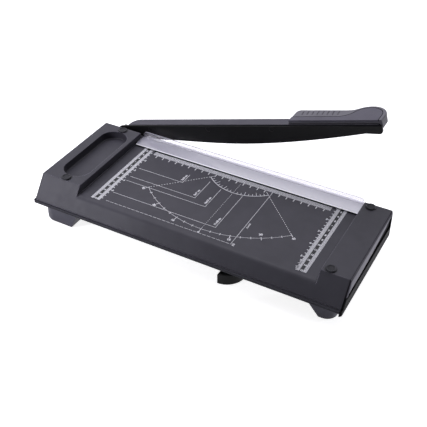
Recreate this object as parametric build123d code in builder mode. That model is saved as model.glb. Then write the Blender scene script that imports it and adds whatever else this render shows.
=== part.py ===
from build123d import *
import math
import os

os.makedirs("parts", exist_ok=True)

# Lever paper trimmer for cards and photos: a low moulded table with a raised block at each
# end, a steel bed knife along its rear edge, a sprung paper clamp with a clear guard, and a
# long lever with a curved blade that turns on a bolt behind the left block.
#
# Millimetres.  X runs along the cut, from the pivot to the handle, Y to the rear, Z up.
# The origin is on the desk, under the middle of the whole trimmer with its lever raised.
# Distances called w are measured from the cutting plane, positive to the rear.

# ---------------------------------------------------------------- driving dimensions
base_l = 419.0              # table and blocks, end to end
left_block_w = 59.1         # along X, from the left end to the step
right_block_w = 37.1
front_reach = 174.5         # cutting plane to the lip under the front skirt
block_back_w = -10.0        # rear faces of the blocks
foot_h = 24.0
cover_t = 3.0
table_h = 20.0              # underside to the cutting surface
block_rise = 11.0           # blocks above the cutting surface
skirt_lean = 0.765          # the front skirt's run for each unit of height
lip = 0.8                   # the bottom cover stands out past the skirt
wall = 3.0
rib_t = 2.0
ribs_n = 6
end_r = 4.0                 # upright corners of the table and its cover
end_draw = 2.5              # top of each end, drawn in from its widest
end_shoulder = 11.0         # height of that rounding
recess_depth = 2.0          # hollow along each end face
recess_low = 7.0            # its lower edge, above the seam with the cover
recess_top_back = 3.5       # its upper edge, below the block's top, at the rear
recess_top_mid = 11.5       # and further on
recess_top_front = 14.5
recess_rim = 5.0            # plain border at its rear and front ends
deck_front_r = 8.0          # rounding between cutting surface and skirt
edge_r = 0.8                # small rounding of moulded edges
end_lip_t = 3.0             # the bottom cover turns down along each end
end_lip_drop = 4.0

tray_w = 38.1
tray_l = 115.5
tray_depth = 11.0
tray_right_margin = 5.8     # from the tray to the step
tray_back_w = -22.2         # rear end of the tray
tray_edge_r = 0.6           # rounding of its rim
tray_floor_r = 1.5          # and round its floor

leaf_t = 2.2                # bed knife, a steel angle
leaf_depth = 22.0
leaf_drop = 17.0
leaf_left = 8.5             # bed knife starts this far in from the left end
leaf_right = 32.5           # and ends this far in from the right end

plug_d = 12.2
plug_proud = 2.0
plug_front_w = -144.2
plug_back_w = -16.9
plug_step = 10.0            # right plugs, from the step
plug_land = 1.6             # the cap overlaps its hole by this much all round
post_d = 13.0
screw_d = 4.0
screw_room = 0.2            # around the long screws
head_d = 7.6
head_t = 3.0

paper_gap = 1.4             # open throat under the clamp
bar_t = 1.0
flange_t = 1.2
clamp_front_w = -25.0
guard_w = -6.2              # front face of the clear upstand
guard_t = 1.5
guard_top = 11.8            # above the cutting surface
guard_corner_r = 5.0
clamp_side_gap = 2.0

pivot_in = 23.5             # pivot axis, from the left end
pivot_drop = 3.0            # and below the cutting surface
rest_angle = 16.6           # the lever as stored, above horizontal
heel_r = 9.0
bolt_d = 8.0
bush_wall = 2.0

blade_t = 2.5
blade_gap = 0.05            # between blade and bed knife
blade_top = 7.9             # above the pivot, square to the lever
blade_l = 380.5             # pivot to the far end
# curved cutting edge from heel to tip, along the lever and below its axis
blade_heel_u = 42.4
blade_heel_drop = 10.6
blade_belly_u = 178.0
blade_belly_drop = 16.9
blade_tip_in = 21.1         # end of the curve, from the far end
blade_tip_drop = 1.1
blade_end_drop = 1.8
blade_end_r = 5.0
blade_screws_n = 4
blade_screw_first = 48.0
blade_screw_last_in = 50.5
blade_screw_v = 4.2
blade_screw_d = 3.5
blade_screw_l = 11.0
csk_d = 7.0                 # countersunk heads
csk_h = 1.9

beam_back_w = 20.0
beam_top = 9.6
beam_start = 8.6            # nose, ahead of the pivot bolt
beam_low_left = -3.0
beam_low_right = 1.4
beam_wall = 2.4
nose_r = 13.0

beam_edge_r = 2.4           # rounding of the arm's top edge at the rear
beam_end_in = 4.0           # arm's far end, short of the blade's
beam_end_r = 5.0
boss_l = 10.0               # solid block round each blade screw

handle_l = 120.0
handle_over = -0.6          # past the blade's far end
handle_t = 5.0
handle_front_w = 4.0
grip_back_w = 33.0          # rear edge of the grip at its free end
neck_back_w = 30.5          # and where it runs into the paddle
grip_corner_r = 6.0
bulb_w = 41.0               # widest point of the paddle
bulb_r = 24.0
neck_r = 20.0
rim_r = 1.5
hook_low = 4.0              # the paddle's rim wraps down over the arm's end
hook_back_w = 23.0
thumb_w = 14.3              # thumb rest, from the front edge to its groove
thumb_rim = 4.0             # from the groove to the paddle's edge
thumb_t = 2.2
thumb_gap = 0.9
grip_ribs = 8
grip_rib_pitch = 6.8
grip_rib_l = 10.0
grip_rib_w = 1.4
grip_rib_depth = 0.6
grip_rib_slant = 6.0
grip_rib_in = 11.6          # first rib, from the free end
grip_rib_mid_w = 22.7
handle_screw_in = 25.0
handle_screw_w = 11.5
handle_screw_d = 3.0
handle_head_t = 2.2
thumb_edge = 0.3

left_foot_out = 8.2         # feet: distances in from the end of the base
left_foot_in = 54.6
left_foot_root = 65.5
left_foot_r = 20.0
left_foot_w = -170.7
right_foot_out = 10.6
right_foot_top = 6.5
right_foot_in = 27.2
right_foot_root = 47.4
right_foot_r = 13.4
right_foot_w = -166.5
foot_front_l = 50.0
foot_back_l = 43.0
foot_edge = 1.2
centre_foot_x = 56.0        # half-round foot: its flat side
centre_foot_w = -147.0
centre_foot_r = 24.5
centre_foot_h = 14.5
neck_in = 11.0              # its screw, from the flat side
neck_d = 16.0

fit = 0.05                  # running and assembly clearance, on the radius
seam = 0.2                  # between moulded pieces that sit side by side

# ---------------------------------------------------------------- places that follow
rear_reach = bulb_w
cut_y = (front_reach - rear_reach) / 2
x_left = -base_l / 2
x_right = base_l / 2
step_l = x_left + left_block_w
step_r = x_right - right_block_w
z_under = foot_h
z_shell = foot_h + cover_t
z_deck = foot_h + table_h
z_block = z_deck + block_rise
y_skirt = cut_y - front_reach + lip
block_back = cut_y + block_back_w
beam_face = cut_y - leaf_t
knife_l = x_left + leaf_left
knife_r = x_right - leaf_right
pivot_x = x_left + pivot_in
pivot_z = z_deck - pivot_drop
block_wall = wall + recess_depth
handle_end = blade_l + handle_over
handle_start = handle_end - handle_l
bulb_u = handle_end - bulb_r
bulb_mid_w = bulb_w - bulb_r
handle_screw_us = (handle_start + handle_screw_in, bulb_u - handle_screw_in / 4)


def skirt_y(z):
    """Y of the front skirt's outer face at height z."""
    return y_skirt + skirt_lean * (z - z_under)


# Lever coordinates: u along the lever from the pivot, v square to it, upwards.
lever = Plane(
    origin=(pivot_x, cut_y, pivot_z),
    x_dir=(math.cos(math.radians(rest_angle)), 0, math.sin(math.radians(rest_angle))),
    z_dir=(0, -1, 0),
)
# The same plane turned flat: u along the lever and w to the rear, at height v.
def lever_top(v):
    """Plane square to the lever's height, v above the pivot: x is u and y is w."""
    return Plane(origin=lever.from_local_coords((0, v, 0)), x_dir=lever.x_dir, z_dir=lever.y_dir)


def lever_side(w):
    """Plane of the lever's side, w behind the cutting plane."""
    return lever.offset(-w)


# ---------------------------------------------------------------- top housing
plug_x_left = step_l - tray_right_margin - tray_w / 2
plug_x_right = step_r + plug_step
plug_spots = {
    "front_left": (plug_x_left, cut_y + plug_front_w),
    "rear_left": (plug_x_left, cut_y + plug_back_w),
    "front_right": (plug_x_right, cut_y + plug_front_w),
    "rear_right": (plug_x_right, cut_y + plug_back_w),
}
post_spots = list(plug_spots.values())
tray_spot = (plug_x_left, cut_y + tray_back_w - tray_l / 2)
neck_spot = (centre_foot_x + neck_in, cut_y + centre_foot_w)
plug_seat = 3.0             # depth of the counterbore under each plug
head_seat = 4.0             # further depth for the screw head
neck_screw_l = 8.0          # into the housing
knife_pocket_front = cut_y - leaf_depth - seam
z_tray = z_block - tray_depth
cavity_top = z_deck - wall
cavity_back_top = z_deck - leaf_t - wall
tab_w = 9.0                 # clamp bar's end tabs, along Y
tab_reach = 2.6
tab_side_gap = 0.3
slot_z0 = z_deck - 0.2
slot_z1 = z_deck + paper_gap + bar_t + 0.1
clamp_mid_w = (clamp_front_w + guard_w) / 2
knife_screw_xs = [step_l + (step_r - step_l) * f for f in (0.06, 0.36, 0.66, 0.96)]
knife_screw_z = z_deck - 10.0
knife_screw_d = 3.5
knife_screw_l = 10.0
spring_d = 5.6
spring_in = 7.0             # from each step
spring_sunk = 1.8           # below the bed knife's flat leaf
spring_room = 0.3
spring_spots = [(x, cut_y + clamp_mid_w) for x in (step_l + spring_in, step_r - spring_in)]
spring_z0 = z_deck - leaf_t - spring_sunk

with BuildPart() as top_housing:
    # table: one profile along the whole length
    with BuildSketch(Plane.YZ.offset(x_left)):
        with BuildLine():
            Polyline(
                (skirt_y(z_shell), z_shell),
                (skirt_y(z_deck), z_deck),
                (block_back, z_deck),
                (block_back, z_shell),
                close=True,
            )
        make_face()
    extrude(amount=base_l)
    # end blocks carry the same skirt up
    for start, width in ((x_left, left_block_w), (step_r, right_block_w)):
        with BuildSketch(Plane.YZ.offset(start)):
            with BuildLine():
                Polyline(
                    (skirt_y(z_deck), z_deck),
                    (skirt_y(z_block), z_block),
                    (block_back, z_block),
                    (block_back, z_deck),
                    close=True,
                )
            make_face()
        extrude(amount=width)
    # rounded deck front, between the blocks
    deck_front = (
        top_housing.edges()
        .filter_by(Axis.X)
        .filter_by(lambda e: abs(e.center().Z - z_deck) < 0.01 and e.center().Y < y_skirt + 30)
        .filter_by(lambda e: abs(e.length - (step_r - step_l)) < 0.1)
    )
    fillet(deck_front, deck_front_r)
    # upright corners of the two end faces
    end_edges = (
        top_housing.faces()
        .filter_by(Axis.X)
        .filter_by(lambda f: abs(abs(f.center().X) - x_right) < 0.01)
        .edges()
        .filter_by(lambda e: abs(e.tangent_at(0).Z) > 0.5)
    )
    fillet(end_edges, end_r)
    top_edges = top_housing.edges().filter_by(lambda e: abs(e.center().Z - z_block) < 0.01)
    brow = top_edges.filter_by(Axis.X)
    steps = top_edges.filter_by(Axis.Y).filter_by(lambda e: abs(e.center().X) < x_right - 1)
    fillet(brow + steps, edge_r)
    # seen from the front, the shoulders of both ends are rounded
    with BuildSketch(Plane.XZ.offset(-block_back)):
        with BuildLine():
            z_shoulder = z_block - end_shoulder
            foot_line = Line((x_left, z_shell), (x_right, z_shell))
            side_right = Line(foot_line @ 1, (x_right, z_shoulder))
            EllipticalCenterArc((x_right - end_draw, z_shoulder), end_draw, end_shoulder, 0, arc_size=90)
            top_line = Line((x_right - end_draw, z_block), (x_left + end_draw, z_block))
            EllipticalCenterArc((x_left + end_draw, z_shoulder), end_draw, end_shoulder, 90, arc_size=90)
            Line((x_left, z_shoulder), foot_line @ 0)
        make_face()
    extrude(amount=front_reach, mode=Mode.INTERSECT)
    # a shallow hollow along each end face
    z_low = z_shell + recess_low
    recess_mid = (block_back + skirt_y(z_low)) / 2 + recess_top_mid
    for x, inward in ((x_left, recess_depth), (x_right, -recess_depth)):
        with BuildSketch(Plane.YZ.offset(x)):
            with BuildLine():
                z_front = z_block - recess_top_front
                y_rear = block_back - recess_rim
                rear = Line((y_rear, z_low), (y_rear, z_block - recess_top_back))
                brim = ThreePointArc(
                    rear @ 1,
                    (recess_mid, z_block - recess_top_mid),
                    (skirt_y(z_front) + recess_rim, z_front),
                )
                front = Line(brim @ 1, (skirt_y(z_low) + recess_rim, z_low))
                Line(front @ 1, rear @ 0)
            make_face()
        extrude(amount=inward, mode=Mode.SUBTRACT)
    # rear beam behind the table carries the bed knife
    with BuildSketch(Plane.XY.offset(z_shell)):
        with Locations(((knife_l + knife_r) / 2, (block_back + beam_face) / 2)):
            Rectangle(knife_r - knife_l, beam_face - block_back)
    extrude(amount=z_deck - z_shell)
    # hollow underside
    with BuildSketch(Plane.YZ.offset(x_left + block_wall)):
        slope = wall * math.hypot(1, skirt_lean)
        with BuildLine():
            Polyline(
                (skirt_y(z_shell) + slope, z_shell),
                (skirt_y(cavity_top) + slope, cavity_top),
                (knife_pocket_front - wall, cavity_top),
                (knife_pocket_front - wall, cavity_back_top),
                (block_back - wall, cavity_back_top),
                (block_back - wall, z_shell),
                close=True,
            )
        make_face()
    extrude(amount=base_l - 2 * block_wall, mode=Mode.SUBTRACT)
    # both blocks are hollow to their tops
    for start, width in ((x_left + block_wall, left_block_w), (step_r + wall, right_block_w)):
        with BuildSketch(Plane.YZ.offset(start)):
            with BuildLine():
                Polyline(
                    (skirt_y(cavity_top) + slope, cavity_top),
                    (skirt_y(z_block - wall) + slope, z_block - wall),
                    (block_back - wall, z_block - wall),
                    (block_back - wall, cavity_top),
                    close=True,
                )
            make_face()
        extrude(amount=width - wall - block_wall, mode=Mode.SUBTRACT)
    # the tray's own wall and floor, inside the left block
    with BuildSketch(Plane.XY.offset(z_tray - wall)):
        with Locations(tray_spot):
            SlotOverall(tray_l + 2 * wall, tray_w + 2 * wall, rotation=90)
    extrude(amount=tray_depth + wall / 2)
    # ribs under the table
    rib_xs = [step_l + (i + 0.5) * (step_r - step_l) / ribs_n for i in range(ribs_n)]
    for x in rib_xs:
        with BuildSketch(Plane.YZ.offset(x)):
            with BuildLine():
                Polyline(
                    (skirt_y(z_shell) + wall, z_shell),
                    (skirt_y(cavity_top) + wall, cavity_top + 0.5),
                    (knife_pocket_front - wall, cavity_top + 0.5),
                    (knife_pocket_front - wall, cavity_back_top),
                    (block_back - 1, cavity_back_top),
                    (block_back - 1, z_shell),
                    close=True,
                )
            make_face()
        extrude(amount=rib_t)
    # screw posts under the plugs
    with BuildSketch(Plane.XY.offset(z_shell)):
        with Locations(*post_spots):
            Circle(post_d / 2)
    extrude(amount=z_deck - z_shell)
    with BuildSketch(Plane.XY.offset(z_deck - wall)):
        with Locations(*post_spots):
            Circle(post_d / 2)
    extrude(amount=block_rise)
    with BuildSketch(Plane.XY.offset(z_shell)):
        with Locations(neck_spot):
            Circle(post_d / 2)
    extrude(amount=cavity_top - z_shell + 0.5)
    with BuildSketch(Plane.XY.offset(z_shell)):
        with Locations(neck_spot):
            Circle(screw_d / 2 + fit)
    extrude(amount=neck_screw_l + 1, mode=Mode.SUBTRACT)
    # tray in the left block
    with BuildSketch(Plane.XY.offset(z_block)):
        with Locations(tray_spot):
            SlotOverall(tray_l, tray_w, rotation=90)
    extrude(amount=-tray_depth, mode=Mode.SUBTRACT)
    tray_edges = top_housing.edges(Select.LAST)
    fillet(tray_edges.filter_by(lambda e: abs(e.center().Z - z_block) < 0.01), tray_edge_r)
    floor_edges = top_housing.edges().filter_by(lambda e: abs(e.center().Z - z_tray) < 0.01)
    fillet(floor_edges.filter_by(
        lambda e: abs(e.center().X - plug_x_left) < tray_w / 2 + 0.1 and e.center().X < step_l - 1
        and cut_y + tray_back_w - tray_l - 0.1 < e.center().Y < cut_y + tray_back_w + 0.1
    ), tray_floor_r)
    # seats for plugs and screws, and screw holes
    with BuildSketch(Plane.XY.offset(z_block)):
        with Locations(*post_spots):
            Circle(plug_d / 2 - plug_land)
    extrude(amount=-(plug_seat + head_seat), mode=Mode.SUBTRACT)
    with BuildSketch(Plane.XY.offset(z_shell)):
        with Locations(*post_spots):
            Circle(screw_d / 2 + screw_room)
    extrude(amount=z_block - z_shell, mode=Mode.SUBTRACT)
    # rebate for the bed knife's flat leaf
    with BuildSketch(Plane.XY.offset(z_deck - leaf_t)):
        with Locations(((step_l + step_r) / 2, (knife_pocket_front + beam_face) / 2)):
            Rectangle(step_r - step_l, beam_face - knife_pocket_front)
    extrude(amount=leaf_t, mode=Mode.SUBTRACT)
    # guide slots for the clamp bar's tabs, in both steps
    for x in (step_l - wall, step_r):
        with BuildSketch(Plane.YZ.offset(x)):
            with Locations((cut_y + clamp_mid_w, (slot_z0 + slot_z1) / 2)):
                Rectangle(tab_w + 2 * tab_side_gap, slot_z1 - slot_z0)
        extrude(amount=wall, mode=Mode.SUBTRACT)
    # room for the pivot nut
    with BuildSketch(Plane.XZ.offset(-block_back)):
        with Locations((pivot_x, pivot_z)):
            Circle(heel_r + 1)
    extrude(amount=-(beam_face - block_back), mode=Mode.SUBTRACT)
    # holes for the bed knife's screws, and pockets for the clamp's springs
    with BuildSketch(Plane.XZ.offset(-beam_face)):
        with Locations(*[(x, knife_screw_z) for x in knife_screw_xs]):
            Circle(knife_screw_d / 2 + fit)
    extrude(amount=knife_screw_l - leaf_t + 0.5, mode=Mode.SUBTRACT)
    with BuildSketch(Plane.XY.offset(z_deck - leaf_t)):
        with Locations(*spring_spots):
            Circle(spring_d / 2 + spring_room)
    extrude(amount=-spring_sunk, mode=Mode.SUBTRACT)
top_housing.part.label = "top_housing"
export_step(top_housing.part, "parts/top_housing.step")

with BuildPart() as bottom_cover:
    with BuildSketch(Plane.XY.offset(z_under)):
        with BuildLine():
            Polyline(
                (x_left, cut_y - front_reach),
                (x_right, cut_y - front_reach),
                (x_right, block_back),
                (knife_r, block_back),
                (knife_r, beam_face),
                (knife_l, beam_face),
                (knife_l, block_back),
                (x_left, block_back),
                close=True,
            )
        make_face()
        with Locations(*post_spots, neck_spot):
            Circle(screw_d / 2 + screw_room, mode=Mode.SUBTRACT)
    extrude(amount=cover_t)
    # a lip turns down along each end
    with BuildSketch(Plane.XY.offset(z_under)):
        for side in (-1, 1):
            with Locations((side * (x_right - end_lip_t / 2), (block_back + cut_y - front_reach) / 2)):
                Rectangle(end_lip_t, front_reach + block_back_w)
    extrude(amount=-end_lip_drop)
    corners = bottom_cover.edges().filter_by(Axis.Z).filter_by(
        lambda e: abs(abs(e.center().X) - x_right) < 0.01)
    fillet(corners, end_r)
bottom_cover.part.label = "bottom_cover"
export_step(bottom_cover.part, "parts/bottom_cover.step")

# ---------------------------------------------------------------- bed knife
stop_w = (3.0, 19.0)        # rubber stop and its tab, behind the cutting plane
stop_x0 = pivot_x + 18.0
stop_l = 14.0
stop_spot = (stop_x0 + stop_l / 2, cut_y + sum(stop_w) / 2)
stop_pin_d = 5.0            # the stop's pin in its tab
stop_edge_gap = 0.5
stop_gap = 0.3              # under the arm

with BuildPart() as bed_knife:
    with BuildSketch(Plane.XY.offset(z_deck - leaf_t)):
        with Locations(((step_l + step_r) / 2, cut_y - leaf_depth / 2)):
            Rectangle(step_r - step_l - 2 * seam, leaf_depth)
        with Locations(*spring_spots):
            Circle(spring_d / 2 + spring_room, mode=Mode.SUBTRACT)
    extrude(amount=leaf_t)
    with BuildSketch(Plane.XZ.offset(-cut_y)):
        with Locations(((knife_l + knife_r) / 2, z_deck - leaf_drop / 2)):
            Rectangle(knife_r - knife_l, leaf_drop)
    extrude(amount=leaf_t)
    # tab bent to the rear, under the lever
    with BuildSketch(Plane.XY.offset(z_deck - leaf_drop)):
        with Locations((stop_x0 + stop_l / 2, cut_y + (stop_w[1] - leaf_t) / 2)):
            Rectangle(stop_l, stop_w[1] + leaf_t)
    extrude(amount=leaf_t)
    with BuildSketch(Plane.XY.offset(z_deck - leaf_drop)):
        with Locations(stop_spot):
            Circle(stop_pin_d / 2)
    extrude(amount=leaf_t, mode=Mode.SUBTRACT)
    with BuildSketch(Plane.XZ.offset(-cut_y)):
        with Locations((pivot_x, pivot_z)):
            Circle(bolt_d / 2 + fit)
        with Locations(*[(x, knife_screw_z) for x in knife_screw_xs]):
            Circle(knife_screw_d / 2 + fit)
    extrude(amount=leaf_t, mode=Mode.SUBTRACT)
    for x in knife_screw_xs:
        with Locations(Plane(origin=(x, cut_y, knife_screw_z), z_dir=(0, -1, 0))):
            with Locations((0, 0, csk_h / 2)):
                Cone(csk_d / 2 + fit, knife_screw_d / 2 + fit, csk_h, mode=Mode.SUBTRACT)
bed_knife.part.label = "bed_knife"
export_step(bed_knife.part, "parts/bed_knife.step")

with BuildPart() as bed_knife_screws:
    for x in knife_screw_xs:
        with Locations(Plane(origin=(x, cut_y, knife_screw_z), z_dir=(0, -1, 0))):
            with Locations((0, 0, csk_h / 2 + fit)):
                Cone(csk_d / 2, knife_screw_d / 2, csk_h)
            with Locations((0, 0, (csk_h + knife_screw_l) / 2)):
                Cylinder(knife_screw_d / 2, knife_screw_l - csk_h)
bed_knife_screws.part.label = "bed_knife_screws"
export_step(bed_knife_screws.part, "parts/bed_knife_screws.step")

stop_z0 = z_deck - leaf_drop + leaf_t
stop_top = pivot_z + beam_low_left - stop_gap
with BuildPart() as arm_buffer:
    with BuildSketch(Plane.XY.offset(stop_z0)):
        with Locations(stop_spot):
            RectangleRounded(stop_l - 2 * stop_edge_gap, stop_w[1] - stop_w[0], 2)
    extrude(amount=stop_top - stop_z0)
    chamfer(arm_buffer.faces().sort_by(Axis.Z)[-1].edges(), 0.8)
    with BuildSketch(Plane.XY.offset(z_deck - leaf_drop)):
        with Locations(stop_spot):
            Circle(stop_pin_d / 2 - fit)
    extrude(amount=leaf_t)
arm_buffer.part.label = "arm_buffer"
export_step(arm_buffer.part, "parts/arm_buffer.step")

# ---------------------------------------------------------------- paper clamp and guard
bar_z = z_deck + paper_gap
with BuildPart() as pressure_bar:
    with BuildSketch(Plane.XY.offset(bar_z)):
        with Locations(((step_l + step_r) / 2, cut_y + clamp_mid_w)):
            Rectangle(step_r - step_l - 2 * clamp_side_gap, guard_w - clamp_front_w)
            Rectangle(step_r - step_l + 2 * tab_reach, tab_w)
    extrude(amount=bar_t)
pressure_bar.part.label = "pressure_bar"
export_step(pressure_bar.part, "parts/pressure_bar.step")

guard_hem = 0.6             # the strip's front edge hooks over the bar
guard_hem_drop = 0.4
flange_z = bar_z + bar_t
guard_l = step_r - step_l - 2 * clamp_side_gap
with BuildPart() as finger_guard:
    with BuildSketch(Plane.YZ.offset(step_l + clamp_side_gap)):
        with BuildLine():
            Polyline(
                (cut_y + clamp_front_w - guard_hem, flange_z - guard_hem_drop),
                (cut_y + clamp_front_w, flange_z - guard_hem_drop),
                (cut_y + clamp_front_w, flange_z),
                (cut_y + guard_w + guard_t, flange_z),
                (cut_y + guard_w + guard_t, z_deck + guard_top),
                (cut_y + guard_w, z_deck + guard_top),
                (cut_y + guard_w, flange_z + flange_t),
                (cut_y + clamp_front_w - guard_hem, flange_z + flange_t),
                close=True,
            )
        make_face()
    extrude(amount=guard_l)
    bend = finger_guard.edges().filter_by(Axis.X).sort_by_distance(
        (0, cut_y + guard_w, flange_z + flange_t))[0]
    fillet(bend, 0.8)
    top_corners = finger_guard.edges().filter_by(Axis.Y).group_by(Axis.Z)[-1]
    fillet(top_corners, guard_corner_r)
finger_guard.part.label = "finger_guard"
export_step(finger_guard.part, "parts/finger_guard.step")

spring_l = bar_z - spring_z0
spring_turns = 3
spring_wire = 0.6
for side, spot in zip(("left", "right"), spring_spots):
    with BuildPart() as hold_down_spring:
        rise = spring_l - spring_wire
        coil_r = (spring_d - spring_wire) / 2
        with BuildLine(Plane.XY.offset(spring_z0 + spring_wire / 2)):
            Helix(rise / spring_turns, rise, coil_r)
        with BuildSketch(Plane(
            origin=(coil_r, 0, spring_z0 + spring_wire / 2), x_dir=(1, 0, 0), z_dir=(0, 1, 0)
        )):
            Rectangle(spring_wire, spring_wire * 0.8)
        sweep(is_frenet=True)
    placed = hold_down_spring.part.moved(Location((spot[0], spot[1], 0)))
    placed.label = "clamp_spring_" + side
    export_step(placed, "parts/clamp_spring_" + side + ".step")

# ---------------------------------------------------------------- lever
blade_back_w = blade_gap + blade_t
blade_run = blade_l - blade_screw_last_in - blade_screw_first
blade_screw_us = [blade_screw_first + i * blade_run / (blade_screws_n - 1) for i in range(blade_screws_n)]
blade_face = lever_side(blade_gap)

with BuildPart() as upper_blade:
    with BuildSketch(blade_face):
        with BuildLine():
            edge = Spline(
                (blade_heel_u, -blade_heel_drop),
                (blade_belly_u, -blade_belly_drop),
                (blade_l - blade_tip_in, -blade_tip_drop),
                tangents=[(1, -0.04), (1, 0.15)],
            )
            tip = Line(edge @ 1, (blade_l - blade_end_r, -blade_end_drop))
            end = Line(tip @ 1, (blade_l, -blade_end_drop))
            rise = Line(end @ 1, (blade_l, blade_top))
            back = Line(rise @ 1, (0, heel_r))
            heel = ThreePointArc(back @ 1, (-heel_r, 0), (0, -heel_r))
            Line(heel @ 1, edge @ 0)
        make_face()
        fillet(vertices().sort_by_distance((blade_l, -blade_end_drop))[0], blade_end_r * 0.9)
        Circle(bolt_d / 2 + bush_wall + fit, mode=Mode.SUBTRACT)
        with Locations(*[(u, blade_screw_v) for u in blade_screw_us]):
            Circle(blade_screw_d / 2 + fit, mode=Mode.SUBTRACT)
    extrude(amount=-blade_t)
    for u in blade_screw_us:
        spot = blade_face.from_local_coords((u, blade_screw_v, 0))
        with Locations(Plane(origin=spot, z_dir=(0, 1, 0))):
            with Locations((0, 0, csk_h / 2)):
                Cone(csk_d / 2 + fit, blade_screw_d / 2 + fit, csk_h, mode=Mode.SUBTRACT)
upper_blade.part.label = "upper_blade"
export_step(upper_blade.part, "parts/upper_blade.step")

beam_end = blade_l - beam_end_in

with BuildPart() as lever_arm:
    with BuildSketch(lever_side(blade_back_w)):
        with BuildLine():
            Polyline(
                (beam_start, beam_top),
                (beam_end, beam_top),
                (beam_end, beam_low_right),
                (beam_start, beam_low_left),
                close=True,
            )
        make_face()
    extrude(amount=-(beam_back_w - blade_back_w))
    upright = lever_arm.edges().filter_by(lambda e: abs(e.tangent_at(0).dot(lever.y_dir)) > 0.9)
    fillet(upright.sort_by(Axis.Y)[-2:].sort_by(Axis.X)[0], nose_r)
    fillet(upright.sort_by(Axis.Y)[-2:].sort_by(Axis.X)[-1], beam_end_r)
    ridge = lever_arm.faces().sort_by(lambda f: f.normal_at().dot(lever.y_dir))[-1].edges()
    fillet(ridge.filter_by(lambda e: e.center().Y > cut_y + blade_back_w + 0.1), beam_edge_r)
    # hollow from below, between the screw bosses
    cells = [*blade_screw_us, beam_end - beam_wall + boss_l / 2]
    for u0, u1 in zip(cells, cells[1:]):
        with BuildSketch(lever_top(beam_top - beam_wall)):
            with Locations(((u0 + u1) / 2, (blade_back_w + beam_back_w) / 2)):
                Rectangle(u1 - u0 - boss_l, beam_back_w - blade_back_w - 2 * beam_wall)
        extrude(amount=-2 * beam_top, mode=Mode.SUBTRACT)
    with BuildSketch(lever_side(blade_back_w)):
        with Locations(*[(u, blade_screw_v) for u in blade_screw_us]):
            Circle(blade_screw_d / 2 + fit)
    extrude(amount=-(blade_screw_l - blade_t + 1), mode=Mode.SUBTRACT)
    with BuildSketch(lever_top(beam_top)):
        with Locations(*[(u, handle_screw_w) for u in handle_screw_us]):
            Circle(handle_screw_d / 2 + fit)
    extrude(amount=-beam_wall, mode=Mode.SUBTRACT)
lever_arm.part.label = "lever_arm"
export_step(lever_arm.part, "parts/lever_arm.step")

with BuildPart() as blade_screws:
    for u in blade_screw_us:
        spot = blade_face.from_local_coords((u, blade_screw_v, 0))
        with Locations(Plane(origin=spot, z_dir=(0, 1, 0))):
            with Locations((0, 0, csk_h / 2 + fit)):
                Cone(csk_d / 2, blade_screw_d / 2, csk_h)
            with Locations((0, 0, (csk_h + blade_screw_l) / 2)):
                Cylinder(blade_screw_d / 2, blade_screw_l - csk_h)
blade_screws.part.label = "blade_screws"
export_step(blade_screws.part, "parts/blade_screws.step")

# ---------------------------------------------------------------- handle
thumb_z = beam_top + handle_t - thumb_t


def handle_outline():
    """Draw the handle from above: a straight grip that widens into a round paddle."""
    Polygon(
        (handle_start, handle_front_w),
        (handle_start, grip_back_w),
        (bulb_u, neck_back_w),
        (bulb_u, handle_front_w),
        align=None,
    )
    paddle(bulb_r, handle_front_w)
    fillet(vertices().sort_by_distance((handle_start, grip_back_w))[0], grip_corner_r)
    fillet(vertices().sort_by_distance((bulb_u - bulb_r, neck_back_w))[0], neck_r)


def paddle(radius, front):
    """Add the paddle's round end, cut straight at the front."""
    with Locations((bulb_u, bulb_mid_w)):
        Circle(radius)
    with Locations((bulb_u + radius / 2, (bulb_mid_w + front) / 2)):
        Rectangle(radius, bulb_mid_w - front)
    with Locations((bulb_u, front - radius)):
        Rectangle(3 * radius, 2 * radius, mode=Mode.SUBTRACT)


def thumb_outline(gap, over):
    """Draw the thumb rest, gap short of its groove and reaching over the open sides."""
    u0, w0, w1 = handle_start - over, handle_front_w - over, thumb_w - gap
    with Locations(((u0 + bulb_u) / 2, (w0 + w1) / 2)):
        Rectangle(bulb_u - u0, w1 - w0)
    paddle(bulb_r - thumb_rim - gap, w0)
    fillet(vertices().sort_by_distance((bulb_u - bulb_r + thumb_rim, w1))[0], neck_r + gap)


with BuildPart() as handle_body:
    with BuildSketch(lever_top(beam_top)):
        handle_outline()
    extrude(amount=handle_t)
    brim = handle_body.faces().sort_by(lambda f: f.center().dot(lever.y_dir))[-1].edges()
    fillet(brim.filter_by(lambda e: e.center().Y > cut_y + handle_front_w + 0.1), rim_r)
    # the rim wraps down over the end of the arm
    with BuildSketch(lever_top(hook_low)):
        handle_outline()
        with Locations((beam_end + seam + bulb_r / 2, (handle_front_w + hook_back_w) / 2)):
            Rectangle(bulb_r, hook_back_w - handle_front_w, mode=Mode.INTERSECT)
    extrude(amount=beam_top - hook_low)
    # seat for the thumb rest, open to the front and to the free end
    with BuildSketch(lever_top(thumb_z)):
        thumb_outline(0, 1)
    extrude(amount=2 * thumb_t, mode=Mode.SUBTRACT)
    # slanted grip ribs, cut into the top
    with BuildSketch(lever_top(beam_top + handle_t)):
        for i in range(grip_ribs):
            with Locations((handle_start + grip_rib_in + i * grip_rib_pitch, grip_rib_mid_w)):
                SlotOverall(grip_rib_l, grip_rib_w, rotation=90 + grip_rib_slant)
    extrude(amount=-grip_rib_depth, mode=Mode.SUBTRACT)
    with BuildSketch(lever_top(beam_top)):
        with Locations(*[(u, handle_screw_w) for u in handle_screw_us]):
            Circle(handle_screw_d / 2 + fit)
    extrude(amount=handle_t - thumb_t, mode=Mode.SUBTRACT)
handle_body.part.label = "handle_body"
export_step(handle_body.part, "parts/handle_body.step")

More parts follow.
